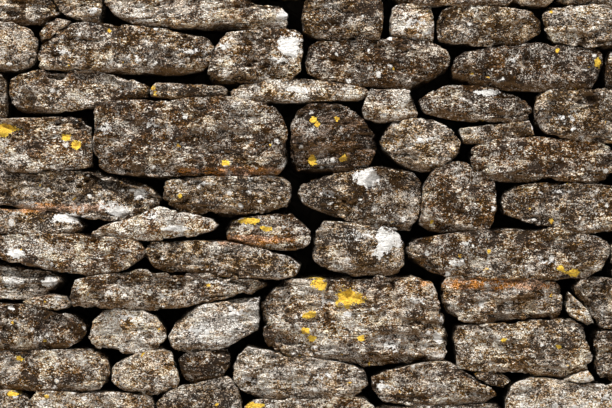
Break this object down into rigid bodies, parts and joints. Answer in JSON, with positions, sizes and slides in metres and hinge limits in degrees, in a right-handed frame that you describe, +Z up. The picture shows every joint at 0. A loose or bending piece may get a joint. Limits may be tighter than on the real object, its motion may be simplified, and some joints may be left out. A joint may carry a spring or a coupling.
{
  "type": "dry stone wall",
  "caption": "Free-standing length of dry stone field wall with two battered faces of rubble limestone, hearting between them, through stones and a cope of stones set on edge.",
  "frame": {"origin": "on the ground, in the middle of the wall's length and width", "axes": "+X along the wall, +Z up, and the traced face towards -Y"},
  "size_m": [2.06, 0.6788, 1.38],
  "materials": {
    "walling_stone": "matte",
    "cope_stone": "matte",
    "footing_stone": "matte",
    "hearting_stone": "matte"
  },
  "bodies": {
    "root": {"back_course_02": "walling_stone", "back_course_03": "walling_stone", "back_course_04": "walling_stone", "back_course_05": "walling_stone", "back_course_06": "walling_stone", "back_course_07": "walling_stone", "back_course_08": "walling_stone", "back_course_09": "walling_stone", "back_course_10": "walling_stone", "back_course_11": "walling_stone", "back_course_12": "walling_stone", "back_course_13": "walling_stone", "back_course_14": "walling_stone", "back_footing": "footing_stone", "back_pinnings": "walling_stone", "cope_east": "cope_stone", "cope_west": "cope_stone", "front_course_02": "walling_stone", "front_course_03": "walling_stone", "front_course_04": "walling_stone", "front_course_05": "walling_stone", "front_course_06": "walling_stone", "front_course_07": "walling_stone", "front_course_08": "walling_stone", "front_course_09": "walling_stone", "front_course_10": "walling_stone", "front_course_11": "walling_stone", "front_course_12": "walling_stone", "front_course_13": "walling_stone", "front_course_14": "walling_stone", "front_footing": "footing_stone", "front_pinnings": "walling_stone", "head_fillers": "hearting_stone", "head_ties": "walling_stone", "hearting": "hearting_stone", "through_stones": "walling_stone"}
  },
  "joints": []
}
